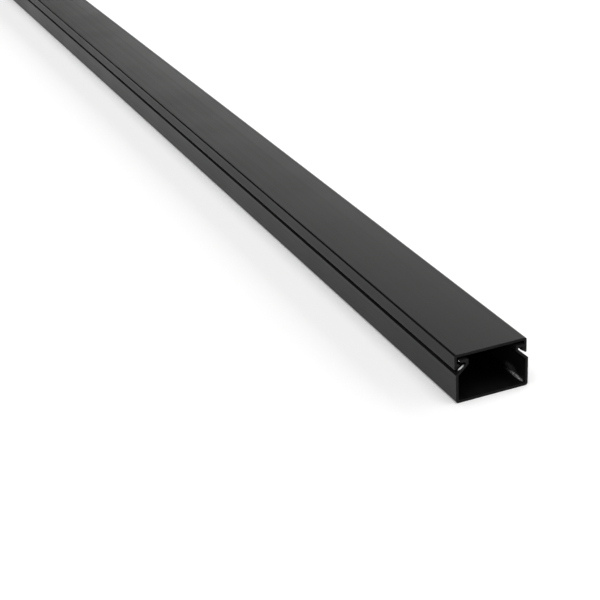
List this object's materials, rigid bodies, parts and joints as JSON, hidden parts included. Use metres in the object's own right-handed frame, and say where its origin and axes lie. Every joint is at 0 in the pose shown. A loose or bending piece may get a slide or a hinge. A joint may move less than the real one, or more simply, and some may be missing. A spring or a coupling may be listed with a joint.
{
  "type": "cable trunking",
  "caption": "Black mini cable trunking: a straight base channel with hooked lips and a flat lid that clips over them, hiding cables along a wall.",
  "frame": {"origin": "middle of the base's flat underside, which goes against the wall", "axes": "+X along the length, +Y across the width, +Z out of the wall towards the lid"},
  "size_m": [1, 0.025, 0.016],
  "materials": {
    "black_pvc": "satin as extruded"
  },
  "bodies": {
    "channel": {"base": "black_pvc"},
    "cover": {"lid": "black_pvc"}
  },
  "joints": [
    {"name": "lid_slide", "type": "slide", "parent": "channel", "child": "cover", "axis": [1, 0, 0], "range_m": [-1, 1]}
  ]
}
